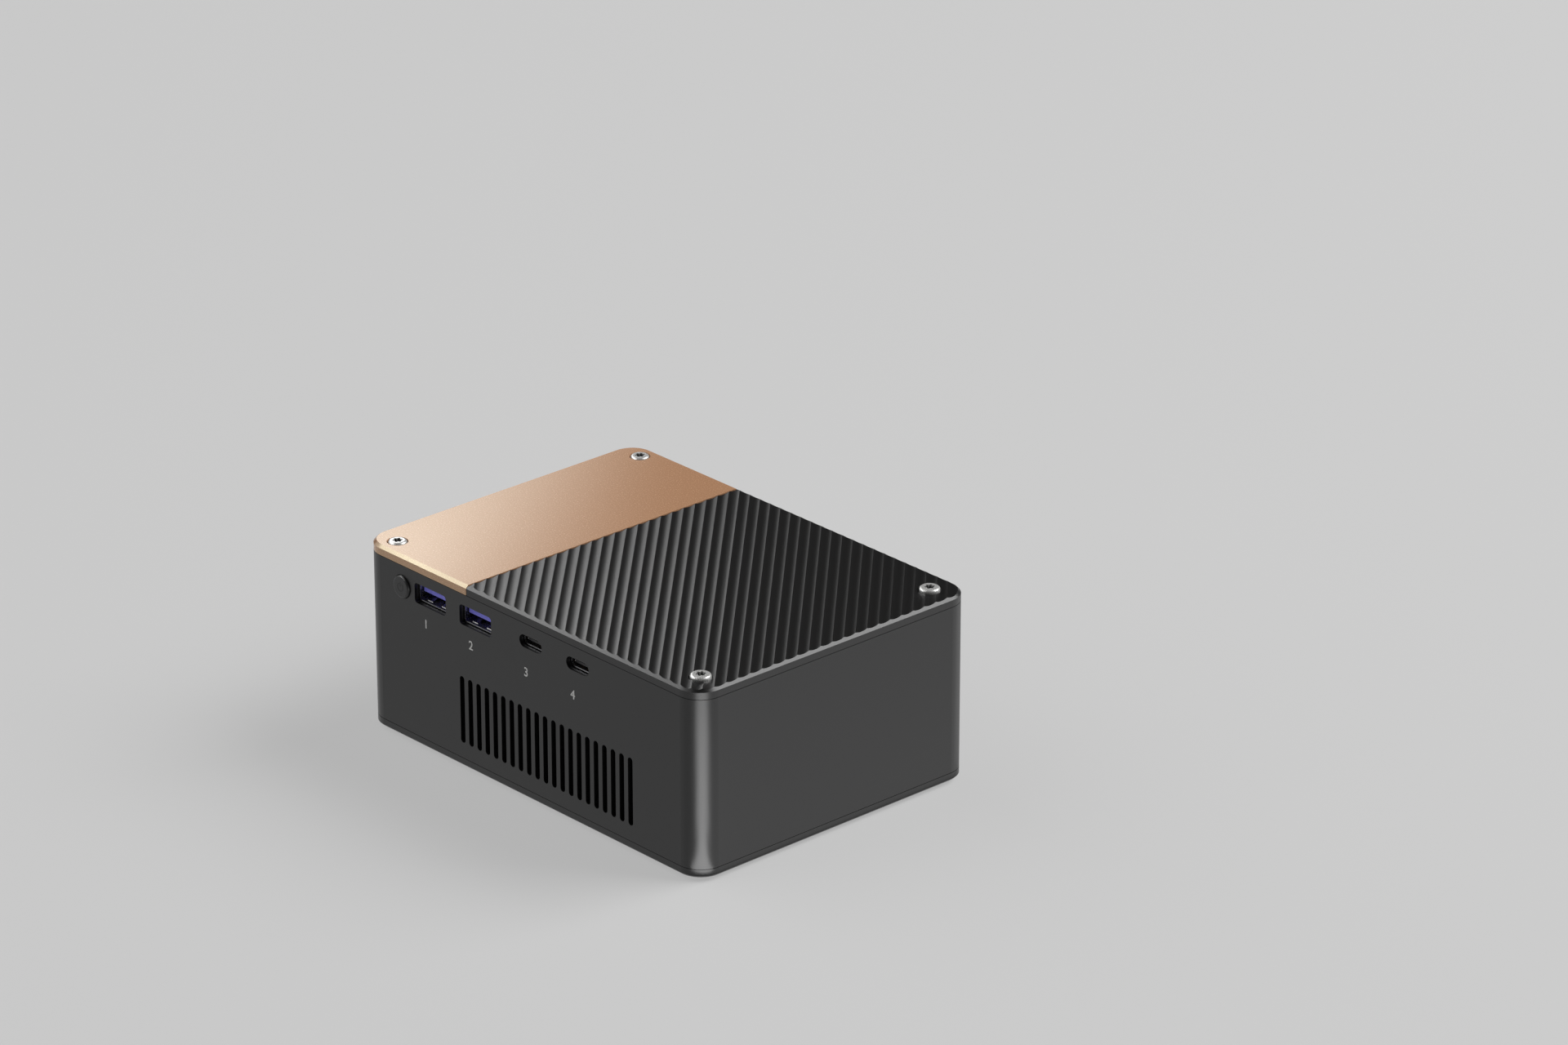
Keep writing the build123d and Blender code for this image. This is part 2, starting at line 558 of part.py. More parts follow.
# Bottom cover: grille under the blower, seats for the feet and the screws
FEET = [
    (sx * (RIGHT - FOOT_INSET_X), sy * (REAR - FOOT_INSET_Y))
    for sx in (-1, 1) for sy in (-1, 1)
]
with BuildPart() as bottom_cover:
    with BuildSketch(Plane.XY.offset(BASE)):
        RectangleRounded(BODY_WIDTH, BODY_DEPTH, CORNER_RADIUS)
    extrude(amount=BOTTOM_THICKNESS)
    chamfer(bottom_cover.faces().sort_by(Axis.Z)[0].edges(), BOTTOM_CHAMFER)
    with BuildSketch(Plane.XY.offset(BASE)):
        with Locations((FAN_X, 0)):
            with GridLocations(GRILLE_SLOT_LENGTH + GRILLE_COLUMN_GAP, GRILLE_ROW_PITCH, 2, GRILLE_ROWS):
                SlotOverall(GRILLE_SLOT_LENGTH, GRILLE_SLOT_WIDTH)
    extrude(amount=BOTTOM_THICKNESS, mode=Mode.SUBTRACT)
    with Locations(*at_level(FEET, BASE)):
        Cylinder(FOOT_RADIUS, FOOT_SEAT, align=BOTTOM_ALIGN, mode=Mode.SUBTRACT)
    with Locations(*at_level(ACCENT_SCREWS + COVER_SCREWS, BASE)):
        Cylinder(BOTTOM_HEAD.radius + HEAD_GAP, BOTTOM_SEAT_DEPTH, align=BOTTOM_ALIGN, mode=Mode.SUBTRACT)
        Cylinder(SCREW_RADIUS + SCREW_HOLE_GAP, BOTTOM_THICKNESS, align=BOTTOM_ALIGN, mode=Mode.SUBTRACT)
    with Locations(*at_level(FAN_SCREWS, FRAME_BOTTOM)):
        Cylinder(FAN_SCREW_RADIUS + TAP_GAP, FAN_SCREW_GRIP + TAP_GAP, align=TOP_ALIGN, mode=Mode.SUBTRACT)
    rib_start = ACCENT_SCREW_X + BOSS_RADIUS + RIB_END_GAP
    rib_length = COVER_SCREW_X - BOSS_RADIUS - RIB_END_GAP - rib_start
    with Locations((rib_start, -rib_y, FRAME_BOTTOM), (rib_start, rib_y, FRAME_BOTTOM)):
        Box(rib_length, RIB_THICKNESS, RIB_HEIGHT, align=(Align.MIN, Align.CENTER, Align.MIN))
write(bottom_cover, "bottom_cover")

# Rubber feet, pressed into their seats
FOOT_NAMES = ["foot_front_left", "foot_rear_left", "foot_front_right", "foot_rear_right"]
for foot_name, (foot_x, foot_y) in zip(FOOT_NAMES, FEET):
    with BuildPart() as foot:
        with Locations((foot_x, foot_y, 0)):
            Cylinder(FOOT_RADIUS, FOOT_STAND + FOOT_SEAT, align=BOTTOM_ALIGN)
        fillet(foot.faces().sort_by(Axis.Z)[0].edges(), FOOT_EDGE)
    write(foot, foot_name)


# Screws: the housing's have rounded heads with six lobes, those inside plain heads with a hexagon

def screws(places, seat, up, head, shank_radius, length, lobed):
    """Group of screws whose heads bear on a seat; up is 1, or -1 for heads that face down."""
    with BuildPart() as group:
        for x, y in places:
            bearing = Plane((x, y, seat), x_dir=(1, 0, 0), z_dir=(0, 0, up))
            with BuildSketch(bearing):
                Circle(head.radius)
            extrude(amount=head.height)
            with BuildSketch(bearing):
                Circle(shank_radius)
            extrude(amount=-length)
        head_faces = group.faces().filter_by(Axis.Z).sort_by(Axis.Z)
        tops = head_faces[-len(places):] if up > 0 else head_faces[:len(places)]
        if lobed:
            fillet(tops.edges(), head.edge)
        else:
            chamfer(tops.edges(), head.edge)
        for x, y in places:
            crown = Plane((x, y, seat + up * head.height), x_dir=(1, 0, 0), z_dir=(0, 0, up))
            with BuildSketch(crown):
                if lobed:
                    Circle(LOBE_REACH)
                    with PolarLocations(LOBE_REACH, LOBE_COUNT):
                        Circle(LOBE_RADIUS)
                else:
                    RegularPolygon(HEX_REACH, 6)
            extrude(amount=-RECESS_SHARE * head.height, mode=Mode.SUBTRACT)
    return group


accent_screws = screws(ACCENT_SCREWS, TOP - ACCENT_SEAT_DEPTH, 1, ACCENT_HEAD, SCREW_RADIUS,
                       TOP_THICKNESS - ACCENT_SEAT_DEPTH + SCREW_GRIP, lobed=True)
write(accent_screws, "accent_screws")
cover_screws = screws(COVER_SCREWS, TOP - COVER_SEAT_DEPTH, 1, COVER_HEAD, SCREW_RADIUS,
                      TOP_THICKNESS - COVER_SEAT_DEPTH + SCREW_GRIP, lobed=True)
write(cover_screws, "cover_screws")
bottom_screws = screws(ACCENT_SCREWS + COVER_SCREWS, BASE + BOTTOM_SEAT_DEPTH, -1, BOTTOM_HEAD,
                       SCREW_RADIUS, BOTTOM_THICKNESS - BOTTOM_SEAT_DEPTH + SCREW_GRIP, lobed=True)
write(bottom_screws, "bottom_screws")
board_screws = screws(BOARD_SCREWS, BOARD_TOP, 1, BOARD_HEAD, BOARD_SCREW_RADIUS,
                      BOARD_THICKNESS + BOARD_SCREW_GRIP, lobed=False)
write(board_screws, "board_screws")
cooler_screws = screws(COOLER_SCREWS, BOARD_TOP, 1, BOARD_HEAD, BOARD_SCREW_RADIUS,
                       BOARD_TOP - PLATE_BOTTOM, lobed=False)
write(cooler_screws, "cooler_screws")
fan_screws = screws(FAN_SCREWS, TRAY_INSIDE, 1, FAN_HEAD, FAN_SCREW_RADIUS,
                    TRAY_FLOOR + FAN_SCREW_GRIP, lobed=False)
write(fan_screws, "fan_screws")

# Ports: a folded shell and a moulded insert with the tongue, standing on the board
for port in PORTS:
    height = TOP - port.drop
    mouth = wall_plane(port.wall, port.across, height, PORT_RECESS)
    with BuildPart() as shell:
        with BuildSketch(mouth):
            port.outline()
            port.outline(-port.sheet, mode=Mode.SUBTRACT)
        extrude(amount=-port.depth)
    write(shell, f"{port.name}_shell")

    below = port.height / 2
    foot_height = height - below - BOARD_TOP
    foot_start = WALL - PORT_RECESS + PORT_WALL_GAP
    tongue = port.tongue
    with BuildPart() as insert:
        with BuildSketch(mouth.offset(-tongue.setback)):
            with Locations((0, tongue.rise)):
                Rectangle(tongue.width, tongue.thickness)
        extrude(amount=-(port.depth - tongue.setback))
        with BuildSketch(mouth.offset(PORT_BLOCK - port.depth)):
            port.outline(-port.sheet - PORT_FIT)
        extrude(amount=-PORT_BLOCK - PORT_BACK)
        with BuildSketch(mouth.offset(-foot_start)):
            with Locations((0, -below)):
                Rectangle(tongue.width, foot_height, align=(Align.CENTER, Align.MAX))
        extrude(amount=-(port.depth + PORT_BACK - foot_start))
        with BuildSketch(mouth.offset(-port.depth)):
            Rectangle(tongue.width, below + foot_height, align=(Align.CENTER, Align.MAX))
        extrude(amount=-PORT_BACK)
    write(insert, f"{port.name}_tongue")

# Power jack: a round nose in the wall, a block on the board and a centre pin
jack_height = TOP - JACK_DROP
jack_mouth = wall_plane("rear", JACK_X, jack_height, PORT_RECESS)
jack_body_start = WALL - PORT_RECESS + PORT_WALL_GAP
with BuildPart() as power_jack:
    with BuildSketch(jack_mouth):
        Circle(JACK_WIDTH / 2)
    extrude(amount=-JACK_DEPTH)
    with BuildSketch(jack_mouth.offset(-jack_body_start)):
        with Locations((0, BOARD_TOP - jack_height)):
            Rectangle(JACK_WIDTH, jack_height - BOARD_TOP + JACK_WIDTH / 2, align=(Align.CENTER, Align.MIN))
    extrude(amount=-(JACK_DEPTH - jack_body_start))
    with BuildSketch(jack_mouth):
        Circle(JACK_BORE_RADIUS)
    extrude(amount=-JACK_BORE_DEPTH, mode=Mode.SUBTRACT)
write(power_jack, "power_jack")

with BuildPart() as power_jack_pin:
    with BuildSketch(jack_mouth.offset(-JACK_PIN_SETBACK)):
        Circle(JACK_PIN_RADIUS)
    extrude(amount=-(JACK_BORE_DEPTH - JACK_PIN_SETBACK))
    fillet(power_jack_pin.faces().sort_by(Axis.Y)[-1].edges(), JACK_PIN_RADIUS / 2)
write(power_jack_pin, "power_jack_pin")

# Power button: a cap in the wall, a flange that holds it in, a stem to the switch
button_height = TOP - BUTTON_DROP
button_face = wall_plane("front", BUTTON_X, button_height, -BUTTON_PROUD)
flange_start = BUTTON_PROUD + WALL + FLANGE_GAP
stem_start = flange_start + FLANGE_THICKNESS
with BuildPart() as power_button:
    with BuildSketch(button_face):
        Circle(BUTTON_RADIUS)
    extrude(amount=-flange_start)
    fillet(power_button.faces().sort_by(Axis.Y)[0].edges(), BUTTON_EDGE)
    with BuildSketch(button_face.offset(-flange_start)):
        Circle(FLANGE_RADIUS)
    extrude(amount=-FLANGE_THICKNESS)
    with BuildSketch(button_face.offset(-stem_start)):
        Circle(STEM_RADIUS)
    extrude(amount=-STEM_LENGTH)
write(power_button, "power_button")

plunger_start = stem_start + STEM_LENGTH + BUTTON_TRAVEL + SWITCH_GAP
with BuildPart() as power_switch:
    with BuildSketch(button_face.offset(-plunger_start)):
        Circle(PLUNGER_RADIUS)
    extrude(amount=-PLUNGER_LENGTH)
    with BuildSketch(button_face.offset(-(plunger_start + PLUNGER_LENGTH))):
        with Locations((0, BOARD_TOP - button_height)):
            Rectangle(SWITCH_WIDTH, button_height - BOARD_TOP + SWITCH_HEADROOM,
                      align=(Align.CENTER, Align.MIN))
    extrude(amount=-SWITCH_DEPTH)
write(power_switch, "power_switch")

# Board, notched round the bosses
with BuildPart() as dock_board:
    with BuildSketch(Plane.XY.offset(BOARD_BOTTOM)):
        Rectangle(INNER_WIDTH - 2 * BOARD_GAP, INNER_DEPTH - 2 * BOARD_GAP)
        for side in (-1, 1):
            with Locations((LEFT, side * REAR)):
                Rectangle(2 * (ACCENT_SCREW_INSET_X + BOSS_RADIUS + BOARD_GAP),
                          2 * (ACCENT_SCREW_INSET_Y + BOSS_RADIUS + BOARD_GAP), mode=Mode.SUBTRACT)
            with Locations((RIGHT, side * REAR)):
                Rectangle(2 * (COVER_SCREW_INSET_X + BOSS_RADIUS + BOARD_GAP),
                          2 * (COVER_SCREW_INSET_Y + BOSS_RADIUS + BOARD_GAP), mode=Mode.SUBTRACT)
        with Locations(*BOARD_SCREWS, *COOLER_SCREWS):
            Circle(BOARD_SCREW_RADIUS + SCREW_HOLE_GAP, mode=Mode.SUBTRACT)
    extrude(amount=BOARD_THICKNESS)
write(dock_board, "dock_board")

# Chips under the board
with BuildPart() as graphics_chip:
    with Locations((FAN_X, 0, BOARD_BOTTOM)):
        Box(SUBSTRATE_SIZE, SUBSTRATE_SIZE, SUBSTRATE_THICKNESS, align=TOP_ALIGN)
    with Locations((FAN_X, 0, BOARD_BOTTOM - SUBSTRATE_THICKNESS)):
        Box(DIE_LENGTH, DIE_WIDTH, DIE_THICKNESS, align=TOP_ALIGN)
write(graphics_chip, "graphics_chip")

memory_x = (MEMORY_LENGTH + MEMORY_GAP) / 2
memory_y = SUBSTRATE_SIZE / 2 + MEMORY_GAP + MEMORY_WIDTH / 2
MEMORY_PLACES = [(FAN_X + sx * memory_x, sy * memory_y) for sx in (-1, 1) for sy in (-1, 1)]
with BuildPart() as memory_chips:
    with Locations(*at_level(MEMORY_PLACES, BOARD_BOTTOM)):
        Box(MEMORY_LENGTH, MEMORY_WIDTH, MEMORY_THICKNESS, align=TOP_ALIGN)
write(memory_chips, "memory_chips")

pad_thickness = BOARD_BOTTOM - MEMORY_THICKNESS - DIE_BOTTOM
with BuildPart() as thermal_pads:
    with Locations(*at_level(MEMORY_PLACES, DIE_BOTTOM)):
        Box(MEMORY_LENGTH, MEMORY_WIDTH, pad_thickness, align=BOTTOM_ALIGN)
write(thermal_pads, "thermal_pads")

# Coils and capacitors on top of the board
with BuildPart() as power_coils:
    with Locations((RIGHT - WALL - COIL_INSET, 0, BOARD_TOP)):
        with GridLocations(COIL_PITCH, COIL_PITCH, 2, COIL_ROWS):
            Box(COIL_SIZE, COIL_SIZE, COIL_HEIGHT, align=BOTTOM_ALIGN)
write(power_coils, "power_coils")

with BuildPart() as capacitors:
    with Locations((RIGHT - WALL - CAPACITOR_INSET, 0, BOARD_TOP)):
        with GridLocations(0, COIL_PITCH, 1, COIL_ROWS):
            Cylinder(CAPACITOR_RADIUS, CAPACITOR_HEIGHT, align=BOTTOM_ALIGN)
write(capacitors, "capacitors")

# Cooler: cold plate, two flattened heat pipes and the fin stack at the vented end
with BuildPart() as cold_plate:
    with Locations((FAN_X, 0, PLATE_BOTTOM)):
        Box(COLD_PLATE_LENGTH, COLD_PLATE_WIDTH, COLD_PLATE_THICKNESS, align=BOTTOM_ALIGN)
    with Locations(*at_level(COOLER_SCREWS, PLATE_BOTTOM)):
        Cylinder(BOARD_SCREW_RADIUS + TAP_GAP, COLD_PLATE_THICKNESS, align=BOTTOM_ALIGN, mode=Mode.SUBTRACT)
write(cold_plate, "cold_plate")

pipe_level = PIPE_BOTTOM + PIPE_THICKNESS / 2
plate_left = FAN_X - COLD_PLATE_LENGTH / 2
for pipe_name, side in (("heat_pipe_front", -1), ("heat_pipe_rear", 1)):
    with BuildPart() as heat_pipe:
        with BuildLine():
            FilletPolyline(
                (FIN_LEFT + PIPE_END_INSET, side * PIPE_OUTER_Y, pipe_level),
                (FIN_RIGHT + PIPE_END_INSET, side * PIPE_OUTER_Y, pipe_level),
                (plate_left, side * PIPE_INNER_Y, pipe_level),
                (FAN_X + COLD_PLATE_LENGTH / 2 - PIPE_END_INSET, side * PIPE_INNER_Y, pipe_level),
                radius=PIPE_BEND,
            )
        pipe_end = Plane((FIN_LEFT + PIPE_END_INSET, side * PIPE_OUTER_Y, pipe_level),
                         x_dir=(0, 1, 0), z_dir=(1, 0, 0))
        with BuildSketch(pipe_end):
            SlotOverall(PIPE_WIDTH, PIPE_THICKNESS)
        sweep()
    write(heat_pipe, pipe_name)

fin_bottom = FRAME_BOTTOM + FIN_LIFT
fin_height = PIPE_BOTTOM - fin_bottom
fin_count = floor((2 * FIN_HALF - FIN_THICKNESS) / FIN_PITCH) + 1
fin_x = (FIN_LEFT + FIN_RIGHT) / 2
with BuildPart() as fin_stack:
    with Locations((fin_x, 0, fin_bottom)):
        with GridLocations(0, FIN_PITCH, 1, fin_count):
            Box(FIN_DEPTH, FIN_THICKNESS, fin_height, align=BOTTOM_ALIGN)
        Box(FIN_DEPTH, 2 * FIN_HALF, FIN_PLATE, align=BOTTOM_ALIGN)
    with Locations((fin_x, 0, PIPE_BOTTOM)):
        Box(FIN_DEPTH, 2 * FIN_HALF, FIN_PLATE, align=TOP_ALIGN)
write(fin_stack, "fin_stack")


# Blower: a tray open towards the fins, its lid, and a wheel on a short shaft

def tray_outline(grow=0.0, mode=Mode.ADD):
    """Round end about the wheel and straight sides to the mouth."""
    with Locations((FAN_X, 0)):
        Circle(FAN_HALF + grow, mode=mode)
        Rectangle(FAN_X - MOUTH_X, 2 * (FAN_HALF + grow), align=(Align.MAX, Align.CENTER), mode=mode)


with BuildPart() as fan_tray:
    with BuildSketch(Plane.XY.offset(FRAME_BOTTOM)):
        tray_outline()
        with Locations(*FAN_SCREWS):
            Circle(EAR_RADIUS)
        with Locations((FAN_X, 0)):
            Circle(EYE_RADIUS, mode=Mode.SUBTRACT)
            Circle(HUB_RADIUS)
            with PolarLocations(0, ARM_COUNT):
                Rectangle(EYE_RADIUS + TRAY_WALL, ARM_WIDTH, align=(Align.MIN, Align.CENTER))
        with Locations(*FAN_SCREWS):
            Circle(FAN_SCREW_RADIUS + SCREW_HOLE_GAP, mode=Mode.SUBTRACT)
    extrude(amount=TRAY_FLOOR)
    with BuildSketch(Plane.XY.offset(TRAY_INSIDE)):
        tray_outline()
        tray_outline(-TRAY_WALL, mode=Mode.SUBTRACT)
        with Locations(*FAN_SCREWS):
            Circle(FAN_HEAD.radius + HEAD_GAP, mode=Mode.SUBTRACT)
    extrude(amount=FAN_ROOF - FAN_LID - TRAY_INSIDE)

    # Bearing tube, with a collar under the stator
    with BuildSketch(Plane.XY.offset(TRAY_INSIDE)):
        with Locations((FAN_X, 0)):
            Circle(BEARING_RADIUS)
            Circle(SHAFT_RADIUS + BEARING_GAP, mode=Mode.SUBTRACT)
    extrude(amount=ROOF_BOTTOM - BEARING_TOP_GAP - TRAY_INSIDE)
    with BuildSketch(Plane.XY.offset(TRAY_INSIDE)):
        with Locations((FAN_X, 0)):
            Circle(BEARING_RADIUS + COLLAR_WIDTH)
            Circle(BEARING_RADIUS, mode=Mode.SUBTRACT)
    extrude(amount=STATOR_BOTTOM - TRAY_INSIDE)
write(fan_tray, "fan_tray")

with BuildPart() as fan_cover:
    with BuildSketch(Plane.XY.offset(FAN_ROOF)):
        tray_outline()
        with Locations((FAN_X, 0)):
            Circle(EYE_RADIUS, mode=Mode.SUBTRACT)
    extrude(amount=-FAN_LID)
write(fan_cover, "fan_cover")

with BuildPart() as fan_stator:
    with BuildSketch(Plane.XY.offset(STATOR_BOTTOM)):
        with Locations((FAN_X, 0)):
            Circle(STATOR_RADIUS)
            Circle(BEARING_RADIUS + MAGNET_FIT, mode=Mode.SUBTRACT)
            with PolarLocations((STATOR_RADIUS + BEARING_RADIUS) / 2, STATOR_SLOTS):
                Circle(STATOR_SLOT_RADIUS, mode=Mode.SUBTRACT)
    extrude(amount=STATOR_HEIGHT)
write(fan_stator, "fan_stator")

with BuildSketch() as blade:
    with BuildLine():
        inner_end = PolarLocations(ROTOR_RADIUS - BLADE_CHORD, 1).locations[0].position
        outer_end = PolarLocations(ROTOR_RADIUS - BLADE_THICKNESS, 1, BLADE_SWEEP).locations[0].position
        SagittaArc(inner_end, outer_end, BLADE_SAG)
    trace(line_width=BLADE_THICKNESS)

with BuildPart() as fan_rotor:
    with BuildSketch(Plane.XY.offset(BLADE_BOTTOM)):
        with Locations((FAN_X, 0)):
            with PolarLocations(0, BLADE_COUNT):
                add(blade.sketch)
    extrude(amount=BLADE_TOP - BLADE_BOTTOM)
    with BuildSketch(Plane.XY.offset(BLADE_MIDDLE - DISC_THICKNESS / 2)):
        with Locations((FAN_X, 0)):
            Circle(ROTOR_RADIUS)
    extrude(amount=DISC_THICKNESS)
    with BuildSketch(Plane.XY.offset(BLADE_BOTTOM)):
        with Locations((FAN_X, 0)):
            Circle(HUB_RADIUS)
    extrude(amount=HUB_TOP - BLADE_BOTTOM)
    with BuildSketch(Plane.XY.offset(BLADE_BOTTOM)):
        with Locations((FAN_X, 0)):
            Circle(HUB_RADIUS - HUB_WALL)
    extrude(amount=ROOF_BOTTOM - BLADE_BOTTOM, mode=Mode.SUBTRACT)
write(fan_rotor, "fan_rotor")

with BuildPart() as fan_magnet:
    with BuildSketch(Plane.XY.offset(ROOF_BOTTOM)):
        with Locations((FAN_X, 0)):
            Circle(MAGNET_OUTER)
            Circle(MAGNET_OUTER - MAGNET_THICKNESS, mode=Mode.SUBTRACT)
    extrude(amount=-MAGNET_HEIGHT)
write(fan_magnet, "fan_magnet")

with BuildPart() as fan_shaft:
    with BuildSketch(Plane.XY.offset(ROOF_BOTTOM)):
        with Locations((FAN_X, 0)):
            Circle(SHAFT_RADIUS)
    extrude(amount=-(ROOF_BOTTOM - TRAY_INSIDE - BEARING_GAP))
write(fan_shaft, "fan_shaft")
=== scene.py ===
"""Finishes, printed marks, contacts, light and camera of a desktop graphics card dock."""
import json
import math
from collections import namedtuple

import bmesh
import bpy
from mathutils import Matrix, Vector


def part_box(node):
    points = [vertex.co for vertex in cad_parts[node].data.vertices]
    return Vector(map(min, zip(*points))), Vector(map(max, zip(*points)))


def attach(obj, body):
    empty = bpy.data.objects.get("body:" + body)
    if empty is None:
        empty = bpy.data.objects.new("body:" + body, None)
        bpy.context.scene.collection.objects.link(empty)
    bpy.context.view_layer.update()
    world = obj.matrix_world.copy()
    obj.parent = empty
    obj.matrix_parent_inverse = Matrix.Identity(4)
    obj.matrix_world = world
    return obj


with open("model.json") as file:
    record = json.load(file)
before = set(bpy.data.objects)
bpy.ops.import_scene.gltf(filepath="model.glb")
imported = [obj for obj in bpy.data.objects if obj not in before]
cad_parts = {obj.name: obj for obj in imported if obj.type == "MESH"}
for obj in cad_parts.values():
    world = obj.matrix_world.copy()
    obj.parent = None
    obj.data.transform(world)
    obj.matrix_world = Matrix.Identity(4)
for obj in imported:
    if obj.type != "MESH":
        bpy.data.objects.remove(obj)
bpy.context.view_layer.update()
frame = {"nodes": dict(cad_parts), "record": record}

MM = 0.001
HOUSING = "housing"
BUTTON = "button"

# The photograph's camera, in the frame of the part: degrees, metres, and mm of lens and sensor
CAMERA_AZIMUTH = 47.614
CAMERA_ELEVATION = 23.621
CAMERA_PLACE = Vector((1.32464, -1.16287, 0.84225))
CAMERA_LENS = 155.09
CAMERA_SENSOR = 36.0
CAMERA_CLIP = (0.01, 50.0)

# Where most of a noise pattern's values lie
GRAIN_SPAN = (0.35, 0.65)

# Painted shade in recesses: openness to the sky at which the painted shade is darkest, and at which
# it stops
PAINTED_SHADE_SPAN = (0.4, 0.75)

# Paper under the part, and the share of its tone that the camera sees without shade
PAPER = "#cdcdcd"
EVEN_SHARE = 0.65

# Half the size of the paper in metres, and of the dark patch under the part in mm
PAPER_HALF = 6.0
UNDER_HALF = (66.0, 46.0)

# Lamps, in metres: place, facing, size and radiance. A sheen-only card shows in gloss and lights
# nothing. One that fades goes dark over this share of its width, towards the rear.
Lamp = namedtuple("Lamp", "place facing width height radiance sheen_only fade",
                  defaults=(False, 0.0))
ROOM = "#363533"
LAMP_DISTANCE = 3.5
KEY_WAY = Vector((0.401, 0.618, 0.677))
FILL_WAY = Vector((-0.62, -0.48, 0.62))
LAMPS = {
    # From behind right, mirrored by the right chamfer
    "key": Lamp(LAMP_DISTANCE * KEY_WAY, -KEY_WAY, 2.55, 2.1, 8.0),
    # From front left, mirrored by the front chamfer
    "fill": Lamp(LAMP_DISTANCE * FILL_WAY, -FILL_WAY, 5.0, 4.2, 1.06),
    # A long, low card left of the part: the sheen on the gold plate and in the flutes
    "left_card": Lamp((-0.2183, 0.018, 0.1821), (0.905, 0.411, 0.111), 0.640, 0.082, 5.2,
                      sheen_only=True, fade=0.536),
    # Over the gold plate's front chamfer
    "edge_card": Lamp((-0.1045, -0.0755, 0.0953), (0.0, 0.01, -1.0), 0.034, 0.024, 3.7,
                      sheen_only=True),
    # On the floor beside the right wall
    "wall_card": Lamp((0.155, 0.090, 0.002), (-0.004, 0.0, 1.0), 0.300, 0.163, 0.45,
                      sheen_only=True),
}

# Strips of card on the floor that widen away from the front right corner, for the highlight down
# it: the corner's foot just over the floor, the strips' way and tilt, and the reach, length and
# width of each
CORNER_FOOT = Vector((0.0703, -0.0498, 0.002))
CORNER_WAY = Vector((0.843, -0.538, 0.0))
CORNER_TILT = 0.01
CORNER_STRIPS = ((0.014, 0.024, 0.013), (0.044, 0.036, 0.038), (0.107, 0.090, 0.088))
CORNER_RADIANCE = 5.9

# Printed marks, in mm
INK_THICKNESS = 0.02
CAP_STEPS = 8
ARC_STEPS = 36
POWER_RADIUS = 1.2
POWER_LINE = 0.34
POWER_GAP_DEGREES = 34
POWER_BAR = (0.36, 1.44)
WALL_FACE = 52.0
NUMBER_SIZE = 3.9
NUMBER_BOLD = 0.05
NUMBER_BASE = 39.4
FRONT_NUMBER_SHIFT = -2.15
MARK_LINE = 0.36
CURRENT_HALF = 2.2
CURRENT_DASH = 1.0
CURRENT_GAP = 1.0
NUMBERED_PORTS = ("usb_front_1", "usb_front_2", "small_port_1", "small_port_2",
                  "video_port_2", "video_port_1", "usb_rear", "link_port")

# Metal in the ports, in mm: where each tongue's blade lies in its shell, and its contacts
Blade = namedtuple("Blade", "setback rise thickness above below width length")


def spread(count, pitch):
    """Even places about a middle."""
    return [(k - (count - 1) / 2) * pitch for k in range(count)]


FLAT_BLADE = Blade(0.9, 1.0, 1.8, [], [-3.5, -1.0, 1.0, 3.5], 1.0, 6.8)
SMALL_BLADE = Blade(0.5, 0.0, 0.7, spread(12, 0.5), spread(12, 0.5), 0.26, 3.6)
LINK_BLADE = Blade(0.6, 0.1, 0.9, spread(16, 0.6), spread(16, 0.6), 0.3, 4.5)
VIDEO_1_BLADE = Blade(0.8, 0.5, 1.0, spread(10, 1.0), spread(9, 1.0), 0.5, 5.5)
VIDEO_2_BLADE = Blade(0.8, 0.6, 1.1, spread(10, 1.2), spread(10, 1.2), 0.55, 6.5)
BLADES = {
    "usb_front_1": FLAT_BLADE,
    "usb_front_2": FLAT_BLADE,
    "usb_rear": FLAT_BLADE,
    "small_port_1": SMALL_BLADE,
    "small_port_2": SMALL_BLADE,
    "link_port": LINK_BLADE,
    "video_port_1": VIDEO_1_BLADE,
    "video_port_2": VIDEO_2_BLADE,
}
CONTACT_THICKNESS = 0.06
CONTACT_INSET = 0.3
CONTACT_TIP = 0.35

# Spring leaves on a shell's lower and upper wall: middles, width, first and last depth, rise
Leaves = namedtuple("Leaves", "lower upper width start end rise")
FLAT_LEAVES = Leaves([-3.2, 3.2], [], 2.4, 1.0, 6.2, 0.6)
VIDEO_LEAVES = Leaves([-3.0, 3.0], [-3.3, 3.3], 1.4, 1.4, 4.6, 0.45)
LEAVES = {
    "usb_front_1": FLAT_LEAVES,
    "usb_front_2": FLAT_LEAVES,
    "usb_rear": FLAT_LEAVES,
    "video_port_1": VIDEO_LEAVES,
    "video_port_2": VIDEO_LEAVES,
}
LEAF_THICKNESS = 0.15
LEAF_STEPS = 16
LEAF_BOW = 1.5
SHELL_SHEET = 0.35

# Latch edges beside the small ports' tongues
LATCH_PLACES = (-3.22, 3.22)
LATCH_WIDTH = 0.3
LATCH_LENGTH = 3.0

# The power jack's leaf: its first and last depth and rise, its width, and the bore's radius
JACK_LEAF = (2.0, 8.0, 0.9)
JACK_LEAF_WIDTH = 2.0
JACK_BORE_RADIUS = 3.0


def linear(hex_colour):
    """Linear RGBA of an sRGB hex colour."""
    channels = [int(hex_colour[i:i + 2], 16) / 255 for i in (1, 3, 5)]
    low = [c / 12.92 for c in channels]
    high = [((c + 0.055) / 1.055) ** 2.4 for c in channels]
    return (*[h if c > 0.04045 else l for c, l, h in zip(channels, low, high)], 1.0)


def add_node(tree, kind, links=None, **settings):
    """A node with its properties and free inputs set, and its other inputs joined to sockets."""
    made = tree.nodes.new(kind)
    for name, value in settings.items():
        if hasattr(made, name):
            setattr(made, name, value)
        else:
            made.inputs[name.replace("_", " ")].default_value = value
    for name, source in (links or {}).items():
        tree.links.new(source, made.inputs[name])
    return made


